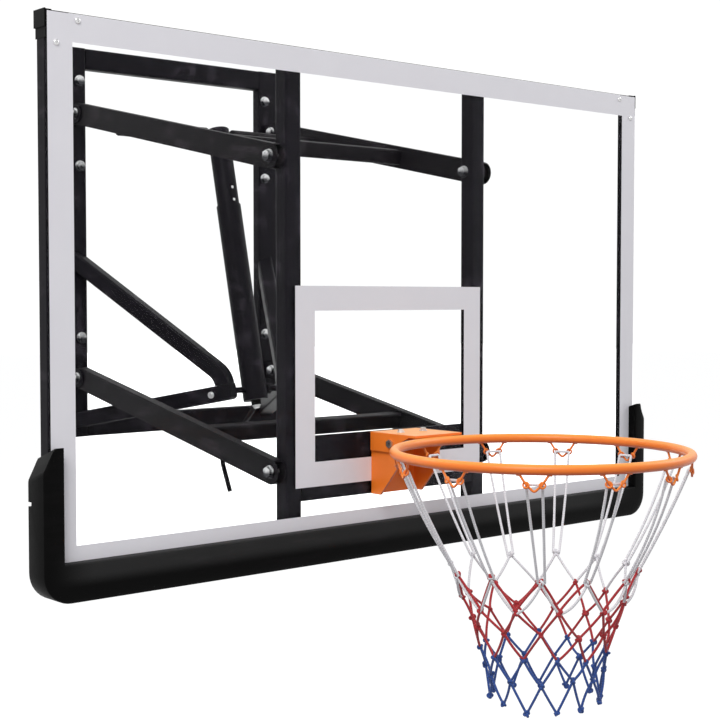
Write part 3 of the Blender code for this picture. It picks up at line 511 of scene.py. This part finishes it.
# Net of braided cord in three colours, by the drop and the radius of each row of knots
NET_ROWS = ((0.1655, 0.149), (0.214, 0.133), (0.253, 0.116), (0.296, 0.101), (0.330, 0.093), (0.376, 0.090))
NET_LEAN = Vector((0.014, -0.012, 0))
NET_SEED = 11
SOLID_CORD_R = 0.00275
NET_START = RING_R - HOOK_R - SOLID_CORD_R - FIT
CORD_R, CORD_SIDES, CORD_SMOOTH = 0.0021, 8, 60
LONG_STEPS, SHORT_STEPS = 12, 9
EYE_BEND = 0.003
KNOT_HALF, KNOT_SIZE, KNOT_STEPS, KNOT_SIDES = 0.0052, 0.00145, 36, 7
KNOT_LEAST, KNOT_MOST = 0.85, 1.2
DOUBLE_STEP, SLACK_OUT = 1.05, 0.4
# How far knots and cords stray: in columns for the first, in millimetres for the rest
COLUMN_STRAY, REACH_STRAY, FALL_STRAY = 0.06, 3, 5
BOW, BOW_STRAY, SAG, TIGHT_SAG, SWAY = (2, 8), 2, (-1, 3), (-3, 0), 3
SLACKS = (1, 1, 2, 3, 5, 8)
# The hooks' turn on the ring and its drift; the heading away from the camera, and where near ends on it
HOOK_TURN, HOOK_DRIFT = math.radians(9.0), math.radians(3.3)
AWAY, NEAR_HALF = 0.72, 0.03


def round_ring(column, radius, drop, aside=0.0):
    """A point under the ring, by column, radius and drop, with a step to one side."""
    angle = math.tau * column / COLUMNS
    angle += HOOK_TURN + HOOK_DRIFT * math.cos(angle - AWAY)
    out = Vector((math.sin(angle), math.cos(angle), 0))
    along = Vector((out.y, -out.x, 0))
    return RING + out * radius + along * aside - Vector((0, 0, drop))


def hung(a, b, sag, steps=SHORT_STEPS, out=0.0):
    """A cord from a to b that sags in the middle; out bows it away from the net's axis."""
    away = ((a + b) / 2 - RING) * Vector((1, 1, 0))
    away.normalize()
    return [a.lerp(b, t) - Vector((0, 0, sag * 4 * t * (1 - t))) + away * (out * 4 * t * (1 - t))
            for t in shares(steps)]


def is_near(point):
    """Whether a point of the net is on the camera's side of the ring, where white cord doubles the red."""
    place = point - RING
    return place.x * math.sin(AWAY) + place.y * math.cos(AWAY) < NEAR_HALF


def knot_rows(stray):
    """Rows of knots, every other row half a column on, each knot a little astray."""
    rows = []
    for row, (drop, radius) in enumerate(NET_ROWS):
        turn = 0.5 if row % 2 == 0 else 1.0
        knots = []
        for k in range(COLUMNS):
            column = k + turn + stray(-COLUMN_STRAY, COLUMN_STRAY, 1)
            reach = radius + stray(-REACH_STRAY, REACH_STRAY)
            fall = drop + ROD_R + HOOK_NECK_DROP + stray(-FALL_STRAY, FALL_STRAY)
            knots.append(round_ring(column, reach, fall) + NET_LEAN * drop)
        rows.append(knots)
    return rows


def net(white, red, blue):
    chance = random.Random(NET_SEED)

    def stray(low, high, unit=1e3):
        """A random length between two values in millimetres, or in another unit."""
        return chance.uniform(low, high) / unit

    knots = knot_rows(stray)
    pale, warm, cool = Shapes(), Shapes(), Shapes()
    for k in range(COLUMNS):
        eyes = [round_ring(k + 0.5, NET_START, ROD_R + EYE_DROP, s * HOOK_NECK / 2) for s in (-1, 1)]
        side = (eyes[1] - eyes[0]).normalized()
        feet = [knots[0][k] + side * (s * KNOT_HALF) for s in (-1, 1)]
        bow = stray(*BOW)
        left = hung(feet[0], eyes[0], 0.0, LONG_STEPS, bow)
        right = hung(eyes[1], feet[1], 0.0, LONG_STEPS, bow + stray(-BOW_STRAY, BOW_STRAY))
        over = bend(left[-2], eyes[0], eyes[1], EYE_BEND) + bend(eyes[0], eyes[1], right[1], EYE_BEND)
        pale.tube(left[:-1] + over + right[1:], CORD_R, CORD_SIDES)
    for row in range(len(NET_ROWS) - 1):
        shift = -1 if row % 2 == 0 else 0
        for k in range(COLUMNS):
            for s in (0, 1):
                a, b = knots[row][k], knots[row + 1][(k + shift + s) % COLUMNS]
                if row == 0 and is_near(a):
                    step = Vector((0, 0, CORD_R * DOUBLE_STEP))
                    slack = chance.choice(SLACKS) / 1e3
                    loose = hung(a - step, b - step, slack, LONG_STEPS, slack * SLACK_OUT)
                    tight = hung(a + step, b + step, stray(*TIGHT_SAG))
                    pale.tube(loose, CORD_R, CORD_SIDES)
                    warm.tube(tight, CORD_R, CORD_SIDES)
                else:
                    cord = (pale, warm, warm, cool, cool)[row]
                    path = hung(a, b, stray(*SAG), SHORT_STEPS, stray(-SWAY, SWAY))
                    cord.tube(path, CORD_R, CORD_SIDES)
    pieces = []
    ties = [p + Vector((0, 0, CORD_R)) for p in knots[0] if is_near(p)]
    for name, cord, finish, places in (("net_white_cord", pale, white, knots[0]),
                                       ("net_red_cord", warm, red, ties + knots[1] + knots[2]),
                                       ("net_blue_cord", cool, blue, knots[3] + knots[4] + knots[5])):
        pieces.append(cord.made(name, finish, CORD_SMOOTH))
        spots = []
        for place in places:
            turn = [chance.uniform(0, math.tau) for _ in range(3)]
            spots.append((place, turn, chance.uniform(KNOT_LEAST, KNOT_MOST)))
        pieces.append(set_out(name.replace("cord", "knots"), knot(finish), spots, finish))
    for piece in pieces:
        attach(piece, "rim")
    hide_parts("net")


def knot(finish):
    """One tied knot: a trefoil of cord, wound over and under itself."""
    path = []
    for k in range(KNOT_STEPS):
        t = math.tau * k / KNOT_STEPS
        trefoil = Vector((math.sin(t) + 2 * math.sin(2 * t),
                          math.cos(t) - 2 * math.cos(2 * t),
                          -1.3 * math.sin(3 * t)))
        path.append(trefoil * KNOT_SIZE)
    loop = Shapes()
    loop.tube(path, CORD_R, KNOT_SIDES, closed=True)
    return loop.made("knot", finish, CORD_SMOOTH)


# Rim: ring, hooks with their eyes and weld beads, and the two bolts on top of its plate
RING_STEPS, RING_SIDES, RING_SMOOTH = 180, 20, 50
HOOK_SIDES, HOOK_STEPS, HOOK_BEND, HOOK_WELD_SINK = 10, 5, 0.004, 0.55
EYE_R, EYE_STEPS, EYE_SIDES, EYE_WIRE, EYE_TWIST = 0.0042, 14, 7, 0.8, 1.2
BEAD_RUN, BEAD_LIFT, BEAD_SINK = (-0.0045, -0.002, 0.001, 0.003), 0.0006, 0.95
BEAD_SIDES, BEAD_WIRE = 8, 1.25
PLATE_BOLT_X, PLATE_BOLT_OUT, PLATE_BOLT_FLATS, PLATE_BOLT_TURN = 0.027, 0.051, 0.0095, 0.4


def hook(ring, column):
    """One hook of bent wire under the ring, drawn flat as (aside, up) and then set round the ring."""
    def spot(p, out=0.0):
        return round_ring(column, RING_R + out, -p.y, p.x)

    weld = Vector((-HOOK_W / 2, -ROD_R * HOOK_WELD_SINK))
    neck = Vector((-HOOK_NECK / 2, -ROD_R - HOOK_NECK_DROP))
    low = Vector((0, -ROD_R - HOOK_DROP))
    half = [weld] + bend(weld, neck, low, HOOK_NECK / 4, HOOK_STEPS)
    far = [Vector((-p.x, p.y)) for p in half[::-1]]
    flat = half + bend(half[-1], low, far[0], HOOK_BEND, HOOK_STEPS) + far
    ring.tube([spot(p) for p in flat], HOOK_R, HOOK_SIDES)
    for s in (-1, 1):
        middle = Vector((s * HOOK_NECK / 2, -ROD_R - EYE_DROP))
        eye = []
        for j in range(EYE_STEPS):
            t = math.tau * j / EYE_STEPS
            eye.append(spot(middle + Vector((math.cos(t), math.sin(t))) * EYE_R,
                            -HOOK_R * EYE_TWIST * math.sin(t + s)))
        ring.tube(eye, HOOK_R * EYE_WIRE, EYE_SIDES, closed=True)
        bead = Vector((s * HOOK_W / 2, -ROD_R * BEAD_SINK))
        run = [spot(bead + Vector((s * d, BEAD_LIFT))) for d in BEAD_RUN]
        ring.tube(run, HOOK_R * BEAD_WIRE, BEAD_SIDES)


def rim(paint, zinc):
    ring = Shapes()
    circle = [round_ring(COLUMNS * k / RING_STEPS, RING_R, 0.0) for k in range(RING_STEPS)]
    ring.tube(circle, ROD_R, RING_SIDES, closed=True)
    for k in range(COLUMNS):
        hook(ring, k + 0.5)
    hoop = ring.made("rim_hoop", paint, RING_SMOOTH)
    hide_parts("rim_ring")
    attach(hoop, "rim")

    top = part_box("rim_plate")[1].z
    spots = [(Vector((s * PLATE_BOLT_X, FACE_Y - PLATE_BOLT_OUT, top)), (0, 0, PLATE_BOLT_TURN * s), 1.0)
             for s in (-1, 1)]
    bolts = set_out("rim_plate_bolts", hex_bolt(PLATE_BOLT_FLATS, zinc), spots, zinc)
    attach(bolts, "rim")


# Fasteners, standing on z 0, as rows of (height, radius); a bolt's radii are shares of its half width
WASHER_EDGE, WASHER_T, WASHER_R, WASHER_RIM = 0.0012, 0.0016, 1.5, 1.42
BOLT_TALL, BOLT_SHOULDER, BOLT_CROWN, BOLT_FLAT = 0.42, 0.86, 0.9, 0.4
BOLT_SIDES, BOLT_SMOOTH = 24, 25
SCREW_ROWS = ((0, 0.0047), (0.0009, 0.0047), (0.0017, 0.0041), (0.0023, 0.0029), (0.0026, 0.0012))
RECESS_HALF, RECESS_W, RECESS_LOWS, RECESS_TOPS = 0.0026, 0.0005, (0.0013, 0.0012), (0.004, 0.005)
ROUND_SIDES, ROUND_SMOOTH = 20, 40


def hex_bolt(flats, zinc):
    """Hexagon head with a chamfered crown on a plain washer."""
    half, tall = flats / 2, flats * BOLT_TALL
    washer, crown = half * WASHER_R, WASHER_T + tall
    rows = ((0.0, washer), (WASHER_EDGE, washer), (WASHER_T, half * WASHER_RIM), (WASHER_T, half),
            (WASHER_T + tall * BOLT_SHOULDER, half), (crown, half * BOLT_CROWN), (crown, half * BOLT_FLAT))
    shape = Shapes()
    shape.turned(rows, BOLT_SIDES, hexagon=(3, 4))
    return shape.made("bolt", zinc, BOLT_SMOOTH)


def pan_screw(zinc):
    """Domed screw head with a cross recess."""
    head = Shapes()
    head.turned(SCREW_ROWS, ROUND_SIDES)
    cross = Shapes()
    for x, y, low, top in zip((RECESS_HALF, RECESS_W), (RECESS_W, RECESS_HALF), RECESS_LOWS, RECESS_TOPS):
        cross.box((-x, -y, low), (x, y, top))
    obj = head.made("screw", zinc, ROUND_SMOOTH)
    return trimmed(obj, "DIFFERENCE", cross.made("cross", zinc), ROUND_SMOOTH, overlaps=True)


# Small fittings of the lift: lock buttons, brace bolts and the bolt under the strut's foot
LEAN = math.radians(13.01)
STRUT_ALONG = Vector((0, math.sin(LEAN), math.cos(LEAN)))
STRUT_FRONT = Vector((0, -math.cos(LEAN), math.sin(LEAN)))
STRUT_PIN = Vector((0, -0.180735, -0.155020))
APEX = Vector((0, -0.3003, -0.6725))
INNER_R, HOLE_R, HOLE_DROPS = 0.02243, 0.0033, (0.114, 0.140)
BUTTON_R = HOLE_R - 0.0002
BUTTON_ROWS = ((-0.0016, BUTTON_R), (-0.0004, BUTTON_R), (-0.0001, HOLE_R * 0.8), (0.0001, HOLE_R * 0.4))
FOOT_LEN, FOOT_BOLT_FLATS = 0.032, 0.0115
BRACE_W, BRACE_BOLT_BACK, BRACE_BOLT_FLATS = 0.032, 0.021, 0.009
BRACE_FOOT, BRACE_TIP = Vector((0.2357, -0.0253, -0.7375)), Vector((0.075, -0.3003, -0.6765))


def lift_fittings(zinc):
    button = Shapes()
    button.turned(BUTTON_ROWS, ROUND_SIDES)
    spots = [(STRUT_PIN - STRUT_ALONG * drop + STRUT_FRONT * INNER_R, facing(STRUT_FRONT), 1.0)
             for drop in HOLE_DROPS]
    buttons = set_out("lock_buttons", button.made("button", zinc, ROUND_SMOOTH), spots, zinc)
    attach(buttons, "strut_inner")

    spots = []
    for s in (-1, 1):
        foot, tip = [Vector((s * p.x, p.y, p.z)) for p in (BRACE_FOOT, BRACE_TIP)]
        along = (tip - foot).normalized()
        out = along.cross(Vector((0, 0, 1))).normalized()
        out *= math.copysign(1.0, out.x * s)
        spots.append((tip - along * BRACE_BOLT_BACK + out * (BRACE_W / 2), facing(out), 1.0))
    bolts = set_out("brace_bolts", hex_bolt(BRACE_BOLT_FLATS, zinc), spots, zinc)
    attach(bolts, "wall_frame")

    foot = [(APEX - STRUT_ALONG * FOOT_LEN, facing(-STRUT_ALONG), 1.0)]
    foot_bolt = set_out("strut_foot_bolt", hex_bolt(FOOT_BOLT_FLATS, zinc), foot, zinc)
    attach(foot_bolt, "strut_outer")


# Corner caps: height and width of the thick part, its wall, the skin's, and how far back their fronts stand
CAP_H, CAP_IN, CAP_T, CAP_SKIN = 0.024, 0.012, 0.0022, 0.0003
CAP_SIDE_FRONT, CAP_TOP_FRONT = FACE_Y + 0.001, FACE_Y + 0.005
CAP_SMOOTH = 30


def corner_caps(plastic):
    """Folded cap on each top corner of the board's frame, with legs that thin out to a skin."""
    edge, top = BOARD_HALF + FIT, BOARD_TOP + FIT
    for s, word in ((-1, "left"), (1, "right")):
        low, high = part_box("corner_cap_" + word)
        inner = min(abs(low.x), abs(high.x))
        shell, skin = Shapes(), Shapes()
        for shape, start, foot, front, thick in (
                (shell, edge, BOARD_TOP - CAP_H, CAP_SIDE_FRONT, CAP_T),
                (shell, edge - CAP_IN, top, CAP_TOP_FRONT, CAP_T),
                (shell, edge - CAP_IN, BOARD_TOP - CAP_H, BOARD_BACK, CAP_T),
                (skin, edge, low.z, CAP_SIDE_FRONT, CAP_SKIN),
                (skin, inner, top, CAP_TOP_FRONT, CAP_SKIN)):
            xs = sorted((s * start, s * (edge + thick)))
            shape.box((xs[0], front, foot), (xs[1], BOARD_BACK + thick, top + thick))
        cap = trimmed(shell.made("cap_" + word, plastic), "UNION", skin.made("skin", plastic), CAP_SMOOTH,
                      overlaps=True)
        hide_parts("corner_cap_" + word)
        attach(cap, "backboard")


# Printed lines and screws on the clear board
PRINT_T, PRINT_SINK = 0.00015, 0.1
BORDER, BARE_EDGE = 0.043, 0.0012
TARGET_X, TARGET_TOP, TARGET_LOW, TARGET_BAND = 0.223, 0.401, 0.746, 0.0426
SCREW_SPOTS = ((0.634, 0.010), (0.670, 0.046))


def printed_frame(name, outer, band, ink):
    """A flat printed band inside a rectangle (left, low, right, high) on the board's face."""
    def ring(inset, y):
        left, low, right, high = outer
        xs, zs = (left + inset, right - inset), (low + inset, high - inset)
        corners = ((xs[0], zs[0]), (xs[1], zs[0]), (xs[1], zs[1]), (xs[0], zs[1]))
        return [Vector((x, y, z)) for x, z in corners]

    front, back = FACE_Y - PRINT_T, FACE_Y - PRINT_T * PRINT_SINK
    shape = Shapes()
    shape.loft([ring(0.0, back), ring(0.0, front), ring(band, front), ring(band, back)], closed=True)
    obj = shape.made(name, ink)
    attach(obj, "backboard")


def board_print(ink, zinc):
    half = BOARD_HALF - BARE_EDGE
    border = (-half, BOARD_LOW + BARE_EDGE, half, BOARD_TOP - BARE_EDGE)
    target = (-TARGET_X, BOARD_TOP - TARGET_LOW, TARGET_X, BOARD_TOP - TARGET_TOP)
    printed_frame("printed_border", border, BORDER - BARE_EDGE, ink)
    printed_frame("printed_target", target, TARGET_BAND, ink)
    spots = [(Vector((s * x, FACE_Y - PRINT_T, BOARD_TOP - drop)), facing((0, -1, 0)), 1.0)
             for s in (-1, 1) for x, drop in SCREW_SPOTS]
    screws = set_out("board_screws", pan_screw(zinc), spots, zinc)
    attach(screws, "backboard")


# Moulded pad round the lower edge: its legs, its section and the shoulders at the legs' tops
PAD_LEG, PAD_DOWN, PAD_SIDE = 0.2345, 0.040, 0.0197
PAD_LIP_SIDE, PAD_LIP, PAD_FRONT, PAD_INNER = 0.0135, 0.0195, 0.019, 0.003
PAD_BACK, PAD_CORNER, PAD_BAND, PAD_BAND_D, PAD_EDGE = 0.003, 0.045, 0.020, 0.0045, 0.0036
PAD_FACE = FACE_Y - PAD_FRONT
PAD_REAR = BOARD_BACK + PAD_BACK
PAD_TOP = BOARD_LOW - PAD_DOWN + PAD_LEG
PAD_SHOULDER, PAD_SHOULDER_IN, PAD_FALL, PAD_GIVE = 0.034, 0.017, 0.019, 0.05
# Rows of (drop from the top, inset past the shoulder's) and of (drop from the shoulder's foot, inset)
PAD_CROWN = ((0.0, 0.0018), (0.0012, 0.0010), (0.0042, -0.0008))
PAD_HEEL = ((-0.003, 0.0016), (0.0, 0.0004), (0.004, 0.0))
PAD_SOFT, PAD_SOFT_CUT = 0.7, 0.3
PAD_TURNS, PAD_SMOOTH, PAD_WELD = 10, 40, 1e-6
NOTCH_DROP, NOTCH_H, NOTCH_D = 0.0825, 0.007, 0.012


def quarter(steps):
    """Even angles from 0 to a right angle."""
    return [math.pi / 2 * k / steps for k in range(steps + 1)]


def pad_section():
    """Closed section of the pad: rows of (in from the bottom, in from the side, depth)."""
    full = (PAD_DOWN + PAD_LIP, PAD_SIDE + PAD_LIP_SIDE)
    pocket = (PAD_DOWN - FIT, PAD_SIDE - FIT)

    def from_inner(inset, y):
        return full[0] - inset, full[1] - inset, y

    rows = [from_inner(0.0, FACE_Y - FIT)]
    for angle in quarter(4):
        inset, depth = PAD_INNER * (1 - math.cos(angle)), PAD_INNER * (1 - math.sin(angle))
        rows.append(from_inner(inset, PAD_FACE + depth))
    for angle in quarter(8):
        inset = PAD_BAND * (1 - math.sin(angle))
        rows.append((inset, inset, PAD_FACE + PAD_BAND_D * (1 - math.cos(angle))))
    for angle in quarter(4):
        inset = PAD_EDGE * (1 - math.cos(angle))
        rows.append((inset, inset, PAD_REAR - PAD_EDGE * (1 - math.sin(angle))))
    floor = PAD_REAR - PAD_BACK
    soft = PAD_BACK * PAD_SOFT
    cut = soft * PAD_SOFT_CUT
    rows += [from_inner(soft, PAD_REAR), from_inner(cut, PAD_REAR - cut)]
    rows += [from_inner(0.0, PAD_REAR - soft), from_inner(0.0, floor)]
    rows += [(*pocket, floor), (*pocket, FACE_Y - FIT)]
    return rows


def pad(skin):
    """The pad's section carried down one leg, round the corners and up the other."""
    side, low = BOARD_HALF + PAD_SIDE, BOARD_LOW - PAD_DOWN
    rings, rows = [], pad_section()
    stations = [("leg", drop, PAD_SHOULDER_IN + more) for drop, more in PAD_CROWN]
    stations += [("leg", PAD_SHOULDER + drop, inward) for drop, inward in PAD_HEEL]
    stations += [("turn", angle, 0.0) for angle in quarter(PAD_TURNS)]
    for kind, at, inward in stations:
        ring = []
        for from_low, from_side, y in rows:
            if kind == "leg":
                top = PAD_TOP - PAD_FALL * (y - PAD_FACE) / (PAD_REAR - PAD_FACE)
                inset = max(from_side, inward + (from_side - inward) * PAD_GIVE)
                ring.append(Vector((-side + inset, y, top - at)))
            else:
                radius_x, radius_z = max(PAD_CORNER - from_side, 0.0), max(PAD_CORNER - from_low, 0.0)
                x, z = -side + max(PAD_CORNER, from_side), low + max(PAD_CORNER, from_low)
                ring.append(Vector((x - radius_x * math.cos(at), y, z - radius_z * math.sin(at))))
        rings.append(ring)
    rings += [[Vector((-p.x, p.y, p.z)) for p in ring] for ring in rings[::-1]]
    shape = Shapes()
    shape.loft(rings)
    obj = shape.made("edge_pad", skin, PAD_SMOOTH)
    bm = bmesh.new()
    bm.from_mesh(obj.data)
    bmesh.ops.remove_doubles(bm, verts=bm.verts, dist=PAD_WELD)
    bmesh.ops.recalc_face_normals(bm, faces=bm.faces)
    bm.to_mesh(obj.data)
    bm.free()
    notch = Shapes()
    notch_top = PAD_TOP - NOTCH_DROP
    for s in (-1, 1):
        xs = sorted((s * (BOARD_HALF - PAD_SIDE), s * (BOARD_HALF + 2 * PAD_SIDE)))
        notch.box((xs[0], PAD_REAR - NOTCH_D, notch_top - NOTCH_H), (xs[1], PAD_REAR + NOTCH_D, notch_top))
    trimmed(obj, "DIFFERENCE", notch.made("notch", skin), PAD_SMOOTH)
    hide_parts("bottom_pad")
    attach(obj, "backboard")


# The solids with more wear and more painted sheen on their paint, by words in their names
ARM_WORDS = ("_arm_", "crossbar", "hanger", "strut_pin")


def main():
    camera()
    studio()
    zinc, paint = bright_zinc("bright_zinc"), orange_paint()
    # sheen: the colour of the worn patches, a painted sheen over real wear
    steel = satin_black("satin_black", rough=0.34, dark=(0.0036, 0.0030, 0.0046, 1),
                        sheen=(0.026, 0.022, 0.029, 1))
    arm_steel = satin_black("black_wear_and_sheen", rough=0.36, dark=(0.0042, 0.0035, 0.0046, 1),
                            sheen=(0.030, 0.025, 0.030, 1))
    dress(NODES, steel)
    dress([n for n in NODES if any(word in n for word in ARM_WORDS)], arm_steel)
    # the imported bolts' dome-shaped heads get a painted highlight above and painted shade below
    dress([n for n in NODES if "bolt" in n], bright_zinc("zinc_painted_light", painted_light=True))
    dress(["rim_hinge_bolt"], zinc)
    dress(["rim_mount", "rim_plate"], paint)
    plastic = moulded_plastic()
    dress(["strut_plug"], plastic)
    dress(["panel"], clear_sheet())
    net(braided_cord("white_cord", lit=(0.93, 0.92, 0.94, 1), groove_shade=(0.72, 0.71, 0.75, 1)),
        braided_cord("red_cord", lit=(0.62, 0.030, 0.035, 1), groove_shade=(0.26, 0.012, 0.020, 1)),
        braided_cord("blue_cord", lit=(0.030, 0.105, 0.42, 1), groove_shade=(0.012, 0.032, 0.15, 1)))
    rim(paint, zinc)
    lift_fittings(zinc)
    corner_caps(plastic)
    board_print(printed_ink(), zinc)
    pad(moulded_rubber())


main()
